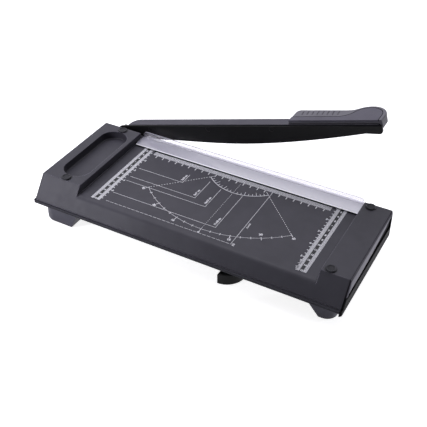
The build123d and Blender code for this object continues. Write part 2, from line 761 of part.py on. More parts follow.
with BuildPart() as handle_inlay:
    with BuildSketch(lever_top(thumb_z)):
        thumb_outline(thumb_gap, 0)
    extrude(amount=thumb_t)
    chamfer(handle_inlay.faces().sort_by(lambda f: f.center().dot(lever.y_dir))[-1].edges(), thumb_edge)
handle_inlay.part.label = "handle_inlay"
export_step(handle_inlay.part, "parts/handle_inlay.step")

with BuildPart() as handle_screws:
    for u in handle_screw_us:
        spot = lever_top(beam_top - beam_wall).from_local_coords((u, handle_screw_w, 0))
        with Locations(Plane(origin=spot, z_dir=lever.y_dir)):
            with Locations((0, 0, -handle_head_t / 2 - fit)):
                Cylinder(handle_screw_d, handle_head_t)
            with Locations((0, 0, (handle_t - thumb_t + beam_wall) / 2 - fit)):
                Cylinder(handle_screw_d / 2, handle_t - thumb_t + beam_wall)
handle_screws.part.label = "handle_screws"
export_step(handle_screws.part, "parts/handle_screws.step")

# ---------------------------------------------------------------- pivot
pivot = Plane(origin=(pivot_x, cut_y, pivot_z), x_dir=(1, 0, 0), z_dir=(0, 1, 0))
collar_r = 7.0              # flange, washers and bolt head
flange_w = 0.8
washer_t = 1.0
washer_w = blade_back_w + flange_w + 0.1
spring_w = washer_w + washer_t + fit
spring_rise = 0.9
head_w = spring_w + spring_rise + fit
nut_t = 5.6

with BuildPart() as pivot_bushing:
    with BuildSketch(pivot.offset(blade_gap)):
        Circle(bolt_d / 2 + bush_wall)
        Circle(bolt_d / 2 + fit, mode=Mode.SUBTRACT)
    extrude(amount=blade_t)
    with BuildSketch(pivot.offset(blade_back_w)):
        Circle(collar_r)
        Circle(bolt_d / 2 + fit, mode=Mode.SUBTRACT)
    extrude(amount=flange_w)
pivot_bushing.part.label = "pivot_bushing"
export_step(pivot_bushing.part, "parts/pivot_bushing.step")

with BuildPart() as thrust_washer:
    with BuildSketch(pivot.offset(washer_w)):
        Circle(collar_r)
        Circle(bolt_d / 2 + fit, mode=Mode.SUBTRACT)
    extrude(amount=washer_t)
thrust_washer.part.label = "thrust_washer"
export_step(thrust_washer.part, "parts/thrust_washer.step")

with BuildPart() as spring_washer:
    with BuildSketch(Plane(origin=pivot.origin, x_dir=(1, 0, 0), z_dir=(0, 0, 1))):
        with BuildLine():
            Polyline(
                (bolt_d / 2 + fit, spring_w + spring_rise - 0.5),
                (collar_r, spring_w),
                (collar_r, spring_w + 0.5),
                (bolt_d / 2 + fit, spring_w + spring_rise),
                close=True,
            )
        make_face()
    revolve(axis=Axis(pivot.origin, (0, 1, 0)))
spring_washer.part.label = "spring_washer"
export_step(spring_washer.part, "parts/spring_washer.step")

with BuildPart() as pivot_bolt:
    with BuildSketch(pivot.offset(head_w)):
        Circle(collar_r)
    extrude(amount=4.2)
    chamfer(pivot_bolt.faces().sort_by(Axis.Y)[-1].edges(), 0.8)
    with BuildSketch(pivot.offset(head_w + 4.2)):
        RegularPolygon(3.0, 6)
    extrude(amount=-2.4, mode=Mode.SUBTRACT)
    with BuildSketch(pivot.offset(block_back_w + 0.6)):
        Circle(bolt_d / 2)
    extrude(amount=head_w - block_back_w - 0.6)
pivot_bolt.part.label = "pivot_bolt"
export_step(pivot_bolt.part, "parts/pivot_bolt.step")

with BuildPart() as pivot_nut:
    with BuildSketch(pivot.offset(-leaf_t - fit)):
        RegularPolygon(6.5, 6, major_radius=False)
        Circle(bolt_d / 2 + fit, mode=Mode.SUBTRACT)
    extrude(amount=-nut_t)
pivot_nut.part.label = "pivot_nut"
export_step(pivot_nut.part, "parts/pivot_nut.step")

# ---------------------------------------------------------------- feet, plugs and screws
screw_end = 10.0            # lower ends of the long screws, above the desk
foot_back_w = block_back_w - 1.0 - foot_back_l
left_foot = (
    (left_foot_out, 0), (left_foot_in, 0), (left_foot_root, foot_h), (left_foot_out, foot_h))
right_foot = (
    (right_foot_out, 0), (right_foot_in, 0), (right_foot_root, foot_h), (right_foot_top, foot_h))
feet = (
    ("front_left", -1, left_foot, left_foot_r, left_foot_w, foot_front_l),
    ("rear_left", -1, left_foot, left_foot_r, foot_back_w, foot_back_l),
    ("front_right", 1, right_foot, right_foot_r, right_foot_w, foot_front_l),
    ("rear_right", 1, right_foot, right_foot_r, foot_back_w, foot_back_l),
)
for name, side, points, corner_r, w0, length in feet:
    with BuildPart() as foot:
        with BuildSketch(Plane.XZ.offset(-(cut_y + w0))):
            with BuildLine():
                Polyline(*[(side * (x_right - x), z) for x, z in points], close=True)
            make_face()
        extrude(amount=-length)
        # the upright corner at the table's own corner is rounded
        uprights = foot.edges().filter_by(lambda e: abs(e.tangent_at(0).Z) > 0.6)
        outer = uprights.sort_by(lambda e: side * e.center().X)[-2:].sort_by(Axis.Y)
        fillet(outer[0] if "front" in name else outer[-1], corner_r)
        chamfer(foot.faces().sort_by(Axis.Z)[0].edges(), foot_edge)
        with BuildSketch(Plane.XY.offset(foot_h)):
            with Locations(plug_spots[name]):
                Circle(screw_d / 2 + fit)
        extrude(amount=-(foot_h - screw_end + 1), mode=Mode.SUBTRACT)
    foot.part.label = "foot_" + name
    export_step(foot.part, "parts/foot_" + name + ".step")

screw_sunk = 2.5            # centre foot's screw head, up inside the pad
with BuildPart() as foot_centre:
    with BuildSketch():
        with Locations((centre_foot_x, cut_y + centre_foot_w)):
            Circle(centre_foot_r)
        with Locations((centre_foot_x - centre_foot_r, cut_y + centre_foot_w)):
            Rectangle(2 * centre_foot_r, 2 * centre_foot_r, mode=Mode.SUBTRACT)
    extrude(amount=centre_foot_h)
    chamfer(foot_centre.faces().sort_by(Axis.Z)[-1].edges(), foot_edge)
    with BuildSketch(Plane.XY.offset(centre_foot_h)):
        with Locations(neck_spot):
            Circle(neck_d / 2)
    extrude(amount=foot_h - centre_foot_h)
    with BuildSketch():
        with Locations(neck_spot):
            Circle(head_d / 2 + screw_room)
    extrude(amount=screw_sunk + head_t, mode=Mode.SUBTRACT)
    with BuildSketch():
        with Locations(neck_spot):
            Circle(screw_d / 2 + fit)
    extrude(amount=foot_h, mode=Mode.SUBTRACT)
foot_centre.part.label = "foot_centre"
export_step(foot_centre.part, "parts/foot_centre.step")

with BuildPart() as foot_centre_screw:
    with BuildSketch(Plane.XY.offset(screw_sunk)):
        with Locations(neck_spot):
            Circle(head_d / 2)
    extrude(amount=head_t - fit)
    with BuildSketch(Plane.XY.offset(screw_sunk)):
        with Locations(neck_spot):
            Circle(screw_d / 2)
    extrude(amount=z_shell + neck_screw_l - screw_sunk)
foot_centre_screw.part.label = "foot_centre_screw"
export_step(foot_centre_screw.part, "parts/foot_centre_screw.step")

head_z = z_block - plug_seat - head_seat
with BuildPart() as housing_screws:
    with BuildSketch(Plane.XY.offset(head_z + fit)):
        with Locations(*post_spots):
            Circle(head_d / 2)
    extrude(amount=head_t)
    with BuildSketch(Plane.XY.offset(screw_end)):
        with Locations(*post_spots):
            Circle(screw_d / 2)
    extrude(amount=head_z + head_t / 2 - screw_end)
housing_screws.part.label = "housing_screws"
export_step(housing_screws.part, "parts/housing_screws.step")

plug_edge = 0.8
plug_dish = 0.5             # shallow hollow in the cap's top
for name, spot in plug_spots.items():
    with BuildPart() as plug:
        with BuildSketch(Plane.XY.offset(z_block)):
            with Locations(spot):
                Circle(plug_d / 2)
        extrude(amount=plug_proud)
        chamfer(plug.faces().sort_by(Axis.Z)[-1].edges(), plug_edge)
        with BuildSketch(Plane.XY.offset(z_block + plug_proud)):
            with Locations(spot):
                Circle(plug_d / 2 - 2 * plug_edge)
        extrude(amount=-plug_dish, mode=Mode.SUBTRACT)
        with BuildSketch(Plane.XY.offset(z_block)):
            with Locations(spot):
                Circle(plug_d / 2 - plug_land - fit)
        extrude(amount=fit - plug_seat)
    plug.part.label = "plug_" + name
    export_step(plug.part, "parts/plug_" + name + ".step")
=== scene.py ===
import bpy
import bmesh
import math
from mathutils import Matrix, Vector

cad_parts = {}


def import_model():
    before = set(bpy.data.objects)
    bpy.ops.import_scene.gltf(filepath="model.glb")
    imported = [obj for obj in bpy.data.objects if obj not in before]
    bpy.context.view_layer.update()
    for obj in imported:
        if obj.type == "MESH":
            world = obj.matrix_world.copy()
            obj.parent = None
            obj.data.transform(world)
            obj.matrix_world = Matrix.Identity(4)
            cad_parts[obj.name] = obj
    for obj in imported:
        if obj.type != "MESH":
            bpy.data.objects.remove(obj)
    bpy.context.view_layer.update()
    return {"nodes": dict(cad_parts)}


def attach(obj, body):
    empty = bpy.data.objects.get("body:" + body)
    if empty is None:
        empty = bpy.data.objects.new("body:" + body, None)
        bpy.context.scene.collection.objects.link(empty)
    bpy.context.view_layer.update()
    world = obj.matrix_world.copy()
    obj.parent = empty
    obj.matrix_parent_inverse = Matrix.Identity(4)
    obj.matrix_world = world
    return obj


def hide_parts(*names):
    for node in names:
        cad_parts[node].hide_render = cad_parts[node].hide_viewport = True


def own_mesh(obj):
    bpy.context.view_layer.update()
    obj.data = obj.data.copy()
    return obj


# Looks of a desk paper trimmer. Metres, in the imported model's frame: X along the cut from the
# pivot to the handle, Y to the rear, Z up, and the desk at zero.

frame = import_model()

TABLE_TOP = 0.044


# ---------------------------------------------------------------- material nodes
def srgb(code):
    """Linear colour of a hex code."""
    values = [int(code[i:i + 2], 16) / 255 for i in (1, 3, 5)]
    return [v / 12.92 if v <= 0.04045 else ((v + 0.055) / 1.055) ** 2.4 for v in values] + [1.0]


def new_material(name, color, roughness, metallic=0.0, specular=0.5):
    """A material, its node tree and its shader."""
    material = bpy.data.materials.new(name)
    material.use_nodes = True
    tree = material.node_tree
    shader = tree.nodes["Principled BSDF"]
    shader.inputs["Base Color"].default_value = srgb(color)
    shader.inputs["Roughness"].default_value = roughness
    shader.inputs["Metallic"].default_value = metallic
    shader.inputs["Specular IOR Level"].default_value = specular
    return material, tree, shader


def place(tree):
    """Object coordinates, in metres of the shared frame."""
    return tree.nodes.new("ShaderNodeTexCoord").outputs["Object"]


def axes(tree, vector):
    """The sockets X, Y and Z of a vector."""
    node = tree.nodes.new("ShaderNodeSeparateXYZ")
    tree.links.new(vector, node.inputs[0])
    return node.outputs


def noise(tree, scale, detail=3.0, stretch=(1, 1, 1)):
    """A noise field over the object's own coordinates."""
    mapping = tree.nodes.new("ShaderNodeMapping")
    mapping.inputs["Scale"].default_value = stretch
    tree.links.new(place(tree), mapping.inputs["Vector"])
    field = tree.nodes.new("ShaderNodeTexNoise")
    field.inputs["Scale"].default_value = scale
    field.inputs["Detail"].default_value = detail
    tree.links.new(mapping.outputs["Vector"], field.inputs["Vector"])
    return field.outputs["Fac"]


def spread(tree, source, low, high, start=0.3, end=0.7):
    """The field mapped from start and end to run from low to high."""
    node = tree.nodes.new("ShaderNodeMapRange")
    node.inputs["From Min"].default_value = start
    node.inputs["From Max"].default_value = end
    node.inputs["To Min"].default_value = low
    node.inputs["To Max"].default_value = high
    tree.links.new(source, node.inputs["Value"])
    return node.outputs["Result"]


def mix(tree, factor, first, second):
    """Colour between two hex codes or sockets."""
    node = tree.nodes.new("ShaderNodeMix")
    node.data_type = "RGBA"
    tree.links.new(factor, node.inputs["Factor"])
    for socket, value in (("A", first), ("B", second)):
        if isinstance(value, str):
            node.inputs[socket].default_value = srgb(value)
        else:
            tree.links.new(value, node.inputs[socket])
    return node.outputs["Result"]


def math_node(tree, operation, first, second=0.0):
    """Arithmetic on sockets or numbers."""
    node = tree.nodes.new("ShaderNodeMath")
    node.operation = operation
    for socket, value in zip(node.inputs, (first, second)):
        if isinstance(value, (int, float)):
            socket.default_value = value
        else:
            tree.links.new(value, socket)
    return node.outputs[0]


def times(tree, first, second):
    """The product of two fields."""
    return math_node(tree, "MULTIPLY", first, second)


def rest_of(tree, share):
    """What a share leaves of one."""
    return math_node(tree, "SUBTRACT", 1.0, share)


BEVEL_SAMPLES = 6
EDGE_TURN = (0.995, 0.9)              # agreement of the two normals off an edge, and at an edge


def rounded_edges(tree, radius):
    """Normal with the sharp edges rounded off, and how near an edge the place is."""
    bevel = tree.nodes.new("ShaderNodeBevel")
    bevel.samples = BEVEL_SAMPLES
    bevel.inputs["Radius"].default_value = radius
    flat = tree.nodes.new("ShaderNodeNewGeometry").outputs["Normal"]
    turn = tree.nodes.new("ShaderNodeVectorMath")
    turn.operation = "DOT_PRODUCT"
    tree.links.new(bevel.outputs["Normal"], turn.inputs[0])
    tree.links.new(flat, turn.inputs[1])
    return bevel.outputs["Normal"], spread(tree, turn.outputs["Value"], 0.0, 1.0, *EDGE_TURN)


def bump(tree, shader, source, strength, depth, normal=None):
    """Relief on the surface, depth in metres."""
    node = tree.nodes.new("ShaderNodeBump")
    node.inputs["Strength"].default_value = strength
    node.inputs["Distance"].default_value = depth
    tree.links.new(source, node.inputs["Height"])
    if normal is not None:
        tree.links.new(normal, node.inputs["Normal"])
    tree.links.new(node.outputs["Normal"], shader.inputs["Normal"])


CREVICE_SAMPLES = 12
CREVICE_OPEN = (0.5, 0.95)            # free share of the surroundings in a groove, and in the open


def crevices(tree, reach):
    """One in the open, zero deep in a groove or a gap: the mask of the painted shade."""
    node = tree.nodes.new("ShaderNodeAmbientOcclusion")
    node.samples = CREVICE_SAMPLES
    node.inputs["Distance"].default_value = reach
    return spread(tree, node.outputs["AO"], 0.0, 1.0, *CREVICE_OPEN)


# ---------------------------------------------------------------- kinds of material
MOTTLE, WEAR_AND_GLINT, SHEEN = 35.0, 60.0, 90.0          # noise scales of colour, of the lighter edges (wear and painted highlight) and of shine
# Painted shade: the colour that darkens grooves, gaps and crevices.
CREVICE_PAINTED_SHADE = "#0b0b0d"


def moulded(name, dark, light, second_tone, roughness, grain=0.0006, depth=0.00002, specular=0.12,
            edge=0.0009, reach=0.003, ends=None):
    """Textured plastic: a fine even grain, edges a little lighter from wear and a painted
    highlight, painted shade in the grooves.
    """
    material, tree, shader = new_material(name, light, roughness, specular=specular)
    normal, edges = rounded_edges(tree, edge)
    body = mix(tree, spread(tree, noise(tree, MOTTLE), 0.0, 1.0), dark, light)
    # The ends take their painted shade and painted highlight band here.
    if ends is not None:
        body, shine, sharp = ends(tree, body, specular)
        tree.links.new(shine, shader.inputs["Specular IOR Level"])
        edges = times(tree, edges, sharp)
    # Lighter edges: partly wear, partly painted highlight.
    worn_and_lit_edges = times(tree, edges, spread(tree, noise(tree, WEAR_AND_GLINT), 0.55, 1.0))
    # Painted shade in grooves, gaps and crevices.
    crevice_shaded_body = mix(tree, crevices(tree, reach), CREVICE_PAINTED_SHADE, body)
    tree.links.new(mix(tree, worn_and_lit_edges, crevice_shaded_body, second_tone), shader.inputs["Base Color"])
    tree.links.new(spread(tree, noise(tree, SHEEN), roughness - 0.03, roughness + 0.03),
                   shader.inputs["Roughness"])
    bump(tree, shader, noise(tree, 1 / grain, 2.0), 0.5, depth, normal)
    return material


BRUSH = 120.0                         # noise scale of the brushed lines
METAL_EDGE = 0.0003


def brushed(name, color, roughness, along=(1, 60, 60), depth=0.000004):
    """Metal with fine lines along one direction."""
    material, tree, shader = new_material(name, color, roughness, metallic=1.0)
    lines = noise(tree, BRUSH, 2.0, along)
    tree.links.new(spread(tree, lines, roughness - 0.06, roughness + 0.08),
                   shader.inputs["Roughness"])
    normal, _ = rounded_edges(tree, METAL_EDGE)
    bump(tree, shader, lines, 0.4, depth, normal)
    return material


ACRYLIC_IOR = 1.49
ACRYLIC_COAT, COAT_ROUGHNESS = 0.6, 0.12
ACRYLIC_WAVE = 12.0                   # noise scale of the slight waves in the sheet
TRANSMISSION = (0.1, 0.89)            # of the milky and the clear part
BROAD_SIDE = (0.9, 0.97)              # how squarely a face looks to the front or rear to be clear
FRONT_FACE = (-0.9, -0.5)             # and how squarely to the front to take the painted glow of its edge
GUARD_BEND = TABLE_TOP + 0.0039       # where the guard turns up
BEND_LINE = (0.0001, 0.0004)          # the dark line along the bend fades over these distances
FLANGE_EDGE = (GUARD_BEND - 0.0004, GUARD_BEND)
GUARD_FADE = (GUARD_BEND, TABLE_TOP + 0.0074)         # the guard clears up over these heights
GUARD_PAINTED_SHADE = (-0.16, -0.06)          # painted shade: the milky part is darker towards the pivot
GUARD_PAINTED_GLOW = (-0.1, 0.1)              # and has a painted glow, stronger towards the other end
# Emission strengths of the painted glow on the front edge and in the milky part.
EDGE_PAINTED_GLOW, INNER_PAINTED_GLOW = 0.55, 0.15


def clear_plastic(name, color, frost, line, roughness):
    """Clear acrylic: milky where it lies on the bar and on its cut edges, with a painted glow from
    emission on its front edge and its milky part.
    """
    material, tree, shader = new_material(name, color, roughness)
    shader.inputs["IOR"].default_value = ACRYLIC_IOR
    shader.inputs["Coat Weight"].default_value = ACRYLIC_COAT
    shader.inputs["Coat Roughness"].default_value = COAT_ROUGHNESS
    where = axes(tree, place(tree))
    facing = axes(tree, tree.nodes.new("ShaderNodeNewGeometry").outputs["True Normal"])

    upright = spread(tree, where["Z"], 0.0, 1.0, *GUARD_FADE)
    broad = spread(tree, math_node(tree, "ABSOLUTE", facing["Y"]), 0.0, 1.0, *BROAD_SIDE)
    clear = times(tree, upright, broad)
    tree.links.new(spread(tree, clear, *TRANSMISSION, 0.0, 1.0),
                   shader.inputs["Transmission Weight"])

    above_bend = math_node(tree, "SUBTRACT", where["Z"], GUARD_BEND)
    bend = spread(tree, math_node(tree, "ABSOLUTE", above_bend), 1.0, 0.0, *BEND_LINE)
    # Painted shade: the milky part darkens towards the pivot.
    milk = mix(tree, spread(tree, where["X"], 0.0, 1.0, *GUARD_PAINTED_SHADE), line, frost)
    tree.links.new(mix(tree, bend, mix(tree, clear, milk, color), line),
                   shader.inputs["Base Color"])

    # Painted glow: emission on the flange's front edge and in the milky part, though no lamp is
    # there.
    front = spread(tree, facing["Y"], 1.0, 0.0, *FRONT_FACE)
    low = spread(tree, where["Z"], 1.0, 0.0, *FLANGE_EDGE)
    edge_painted_glow = spread(tree, times(tree, front, low), 0.0, EDGE_PAINTED_GLOW, 0.0, 1.0)
    inner_painted_glow = times(tree, spread(tree, where["X"], 0.0, INNER_PAINTED_GLOW, *GUARD_PAINTED_GLOW),
                       rest_of(tree, clear))
    shader.inputs["Emission Color"].default_value = srgb(frost)
    tree.links.new(math_node(tree, "MAXIMUM", edge_painted_glow, inner_painted_glow),
                   shader.inputs["Emission Strength"])
    bump(tree, shader, noise(tree, ACRYLIC_WAVE), 0.05, 0.00001)
    return material


INK_MOTTLE, INK_GRAIN = 900.0, 2500.0           # noise scales of the ink's colour and surface


def printed(name, color, second_tone):
    """Screen-printed ink, a little uneven."""
    material, tree, shader = new_material(name, color, 0.55, specular=0.3)
    tree.links.new(mix(tree, spread(tree, noise(tree, INK_MOTTLE), 0.0, 1.0), second_tone, color),
                   shader.inputs["Base Color"])
    bump(tree, shader, noise(tree, INK_GRAIN), 0.3, 0.000004)
    return material


END_WALL = (0.2068, 0.2072)           # everything further out belongs to the two ends
END_OUTER = (0.2080, 0.2084)          # and beyond this, to their outermost faces
BRIM = (0.0375, 0.0385)               # lower edge of the painted highlight band over the hollow
SHOULDER = (0.0508, 0.0523)           # and its upper edge
END_DULL = 0.02                       # specular level of the part in painted shade
# Painted shade on the ends, black low in the hollow and greyer higher up, and a painted highlight
# band on the shoulder.
END_PAINTED_SHADE, END_PAINTED_HALF_SHADE, END_PAINTED_HIGHLIGHT = "#121214", "#2f2e34", "#46444e"


def end_walls(tree, body, specular):
    """Colour, shine and the edge mask, with the ends in painted shade, black and dull, and a
    painted highlight band over their hollow.
    """
    where = axes(tree, place(tree))
    out = math_node(tree, "ABSOLUTE", where["X"])
    end = spread(tree, out, 0.0, 1.0, *END_WALL)
    outer = spread(tree, out, 0.0, 1.0, *END_OUTER)
    high = spread(tree, where["Z"], 0.0, 1.0, *BRIM)
    under = spread(tree, where["Z"], 1.0, 0.0, *SHOULDER)
    # The painted highlight band on the outermost faces, between brim and shoulder.
    painted_highlight_band = times(tree, outer, times(tree, high, under))
    dull = times(tree, end, rest_of(tree, painted_highlight_band))
    rise = spread(tree, where["Z"], 0.0, 1.0, BRIM[0], SHOULDER[0])
    # Painted shade: black at the bottom of the hollow, greyer higher up.
    plain = mix(tree, rise, END_PAINTED_SHADE, END_PAINTED_HALF_SHADE)
    color = mix(tree, end, body, mix(tree, painted_highlight_band, plain, END_PAINTED_HIGHLIGHT))
    return color, spread(tree, dull, specular, END_DULL, 0.0, 1.0), rest_of(tree, end)


# ---------------------------------------------------------------- materials
# The last colour of each moulded material is its lighter edge: partly wear, partly painted
# highlight.
HOUSING = moulded("housing_plastic", "#3f3e46", "#46454d", "#8e8c9a", 0.46, specular=0.2,
                  edge=0.0014, ends=end_walls)
COVER = moulded("cover_plastic", "#29282f", "#2f2e36", "#5c5b64", 0.5, ends=end_walls)
RUBBER = moulded("foot_rubber", "#3d3c47", "#444350", "#5a5863", 0.55, specular=0.35)
BLACK_PLASTIC = moulded("black_plastic", "#161617", "#1c1c1e", "#333336", 0.5)
PLUG = moulded("plug_plastic", "#2e2e32", "#35353a", "#55555b", 0.42)
ARM = moulded("arm_plastic", "#494752", "#4f4d58", "#7d7b86", 0.42)
HANDLE = moulded("handle_plastic", "#62606a", "#696771", "#7b7985", 0.45, specular=0.28,
                 reach=0.002)
INLAY = moulded("handle_inlay", "#5d5b66", "#63616d", "#8b8995", 0.5)
BLACK_SCREW = moulded("black_screw", "#131314", "#18181a", "#1a1a1c", 0.38, specular=0.18)
BLADE = moulded("blade_coating", "#131314", "#18181a", "#3a3a3d", 0.38, grain=0.0012,
                depth=0.000008, specular=0.18, edge=0.0004)
STEEL = brushed("ground_steel", "#a9aab0", 0.3)
DARK_STEEL = brushed("blackened_steel", "#3a3a3d", 0.38, along=(20, 20, 20))
SATIN = brushed("satin_aluminium", "#d6d5dd", 0.34)
BRONZE = brushed("bronze", "#8f7440", 0.36, along=(30, 30, 30))
CLEAR = clear_plastic("clear_acrylic", "#f3f1f9", "#f1f0fa", "#9c9aa8", 0.08)
INK = printed("scale_ink", "#e6e6ea", "#d2d2d8")
DARK_INK = printed("scale_ground", "#29292c", "#2e2e32")

NODE_MATERIALS = {
    "top_housing": HOUSING, "bottom_cover": COVER,
    "bed_knife": STEEL, "bed_knife_screws": DARK_STEEL, "arm_buffer": BLACK_PLASTIC,
    "pressure_bar": SATIN, "finger_guard": CLEAR,
    "clamp_spring_left": STEEL, "clamp_spring_right": STEEL,
    "lever_arm": ARM, "upper_blade": BLADE, "blade_screws": BLACK_SCREW,
    "handle_body": HANDLE, "handle_inlay": INLAY, "handle_screws": DARK_STEEL,
    "pivot_bushing": BRONZE, "thrust_washer": DARK_STEEL, "spring_washer": STEEL,
    "pivot_bolt": DARK_STEEL, "pivot_nut": DARK_STEEL,
    "foot_front_left": RUBBER, "foot_rear_left": RUBBER,
    "foot_front_right": RUBBER, "foot_rear_right": RUBBER,
    "foot_centre": BLACK_PLASTIC, "foot_centre_screw": DARK_STEEL,
    "housing_screws": DARK_STEEL,
    "plug_front_left": PLUG, "plug_rear_left": PLUG,
    "plug_front_right": PLUG, "plug_rear_right": PLUG,
}
for node, material in NODE_MATERIALS.items():
    slots = frame["nodes"][node].data.materials
    slots.clear()
    slots.append(material)


# ---------------------------------------------------------------- pieces for CAD nodes
def new_piece(name, mesh):
    """An object that rides on the base."""
    piece = bpy.data.objects.new(name, mesh)
    bpy.context.collection.objects.link(piece)
    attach(piece, "base")
    return piece


def evaluated_mesh(obj):
    """A mesh of its own from the object as it stands, with its modifiers."""
    bpy.context.view_layer.update()
    return bpy.data.meshes.new_from_object(
        obj.evaluated_get(bpy.context.evaluated_depsgraph_get()))


LIP_CUT = ((-0.2125, -0.112, 0.0190), (-0.2055, -0.050, 0.0240))     # two corners of a box


def cover_plate():
    """The cover, with its left lip stopping short of the front corner."""
    form = bmesh.new()
    bmesh.ops.create_cube(form, size=1.0)
    low, high = (Vector(corner) for corner in LIP_CUT)
    for vert in form.verts:
        vert.co = (low + high) / 2 + vert.co * (high - low)
    mesh = bpy.data.meshes.new("lip_cut")
    form.to_mesh(mesh)
    form.free()
    tool = bpy.data.objects.new("lip_cut", mesh)
    bpy.context.collection.objects.link(tool)
    source = frame["nodes"]["bottom_cover"]
    whole = bpy.data.objects.new("whole_cover", source.data.copy())
    whole.matrix_world = source.matrix_world.copy()
    bpy.context.collection.objects.link(whole)
    cut = whole.modifiers.new("lip_cut", "BOOLEAN")
    cut.operation = "DIFFERENCE"
    cut.object = tool
    shape = evaluated_mesh(whole)
    shape.transform(whole.matrix_world)
    for helper in (whole, tool):
        used = helper.data
        bpy.data.objects.remove(helper)
        bpy.data.meshes.remove(used)
    piece = new_piece("cover_plate", shape)
    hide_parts("bottom_cover")


SPRING_SEATS = {"left": -0.1434, "right": 0.1654}
SPRING_Y = 0.05115
SPRING_LOW, SPRING_HIGH = 0.04006, 0.04534
SPRING_RADIUS, SPRING_WIRE = 0.0025, 0.0003     # to the middle of the wire, and the wire's own
SPRING_TURNS, SPRING_STEPS, WIRE_SIDES = 3, 28, 8


def clamp_spring(side, x):
    """A round wire spring under the clamp."""
    wire = bmesh.new()
    up = Vector((0, 0, 1))
    steps = SPRING_TURNS * SPRING_STEPS
    low, high = SPRING_LOW + SPRING_WIRE, SPRING_HIGH - SPRING_WIRE
    rings = []
    for i in range(steps + 1):
        turn = 2 * math.pi * i / SPRING_STEPS
        outward = Vector((math.cos(turn), math.sin(turn), 0))
        middle = Vector((x, SPRING_Y, low + (high - low) * i / steps)) + outward * SPRING_RADIUS
        ring = []
        for k in range(WIRE_SIDES):
            angle = 2 * math.pi * k / WIRE_SIDES
            spoke = outward * math.cos(angle) + up * math.sin(angle)
            ring.append(wire.verts.new(middle + spoke * SPRING_WIRE))
        rings.append(ring)
    for first, second in zip(rings, rings[1:]):
        for k in range(WIRE_SIDES):
            after = (k + 1) % WIRE_SIDES
            wire.faces.new((first[k], first[after], second[after], second[k]))
    wire.faces.new(rings[0][::-1])
    wire.faces.new(rings[-1])
    bmesh.ops.recalc_face_normals(wire, faces=wire.faces)
    for face in wire.faces:
        face.smooth = True
    mesh = bpy.data.meshes.new("spring_wire_" + side)
    wire.to_mesh(mesh)
    wire.free()
    mesh.materials.append(STEEL)
    piece = new_piece("spring_wire_" + side, mesh)
    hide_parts("clamp_spring_" + side)
    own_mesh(piece)


cover_plate()
for side, x in SPRING_SEATS.items():
    clamp_spring(side, x)

# ---------------------------------------------------------------- printed scales
# From here to the stage, places and lengths are centimetres on the print: columns count from
# its own zero to the right, rows from there to the rear.
CM = 0.01
INCH_CM = 2.54
PRINT_ORIGIN = (-0.128, 0.04175)      # the print's zero, in metres
PRINT_HEIGHT = TABLE_TOP + 0.00008    # the ink's height, in metres
GROUND_HEIGHT = PRINT_HEIGHT - 0.00004
CUT_ROW = 2.5                         # the cutting line
STOP_COLUMN = -2.16                   # the paper stop
CLAMP_ROW = -0.85                     # in front of the clamp


def on_table(x, y, height=PRINT_HEIGHT):
    """A place in the shared frame."""
    return Vector((PRINT_ORIGIN[0] + x * CM, PRINT_ORIGIN[1] + y * CM, height))


def block(x0, x1, y0, y1):
    """A filled rectangle."""
    return [(x0, y0), (x1, y0), (x1, y1), (x0, y1)]


def stroke(start, end, width):
    """A straight line of the given width."""
    a, b = Vector(start), Vector(end)
    side = (b - a).normalized().orthogonal() * (width / 2)
    return [a - side, b - side, b + side, a + side]


def dashes(start, end, width, dash, gap):
    """A broken line from start towards end."""
    a, b = Vector(start), Vector(end)
    step = (b - a).normalized()
    count = int((b - a).length / (dash + gap)) + 1
    strokes = []
    for i in range(count):
        first = i * (dash + gap)
        last = min(first + dash, (b - a).length)
        strokes.append(stroke(a + step * first, a + step * last, width))
    return strokes


def polar(centre, radius, degrees):
    """A place round the centre, with zero degrees straight to the front."""
    turn = math.radians(degrees)
    return Vector((centre[0] + radius * math.sin(turn), centre[1] - radius * math.cos(turn)))


def arc(centre, radius, limit, width, step=1.5):
    """A thin arc to both sides of straight ahead."""
    count = int(2 * limit / step)
    rows = [(polar(centre, radius - width / 2, -limit + i * step),
             polar(centre, radius + width / 2, -limit + i * step)) for i in range(count + 1)]
    return [[a, b, d, c] for (a, b), (c, d) in zip(rows, rows[1:])]


def lay_ink(name, ink, material):
    """The ink as a piece, with all its faces up."""
    ink.normal_update()
    for face in ink.faces:
        if face.normal.z < 0:
            face.normal_flip()
    mesh = bpy.data.meshes.new(name)
    ink.to_mesh(mesh)
    ink.free()
    mesh.materials.append(material)
    new_piece(name, mesh)


def figures(name, shapes, material, height=PRINT_HEIGHT):
    """Flat shapes of ink on the table."""
    ink = bmesh.new()
    for shape in shapes:
        ink.faces.new([ink.verts.new(on_table(p[0], p[1], height)) for p in shape])
    lay_ink(name, ink, material)


def lettering(name, words, material):
    """Words of ink on the table: each with column, row, turn in degrees, and height and weight."""
    ink = bmesh.new()
    for text, x, y, degrees, (size, weight) in words:
        curve = bpy.data.curves.new(name + "_word", "FONT")
        curve.body = text
        curve.size = size * CM
        curve.offset = weight * CM
        curve.align_x = "CENTER"
        curve.align_y = "CENTER"
        word = bpy.data.objects.new(name + "_word", curve)
        bpy.context.collection.objects.link(word)
        shape = evaluated_mesh(word)
        turn = Matrix.Rotation(math.radians(degrees), 4, "Z")
        shape.transform(Matrix.Translation(on_table(x, y)) @ turn)
        ink.from_mesh(shape)
        bpy.data.objects.remove(word)
        bpy.data.curves.remove(curve)
        bpy.data.meshes.remove(shape)
    lay_ink(name, ink, material)


SIDE_RULERS = (("left", 0.02, 1), ("right", 27.87, -1))      # middle column, way to the inside
SIDE_START, SIDE_END = 0.22, -12.6
MM_BAND = (-0.62, -0.20)              # across each side ruler, from its middle to the inside
NUMBER_BAND = (-0.20, 0.22)
INCH_BASE, INCH_QUARTER, INCH_SIXTEENTH = 0.24, 0.88, 0.68
INCH_NUMBERS = 1.02
TICK, INCH_TICK = 0.072, 0.1152
CM_NUMBERS, LAST_INCH = (3, 15), 5
SMALL_TYPE, PAIR_TYPE, INCH_TYPE = (0.42, 0.022), (0.36, 0.022), (0.4, 0.026)


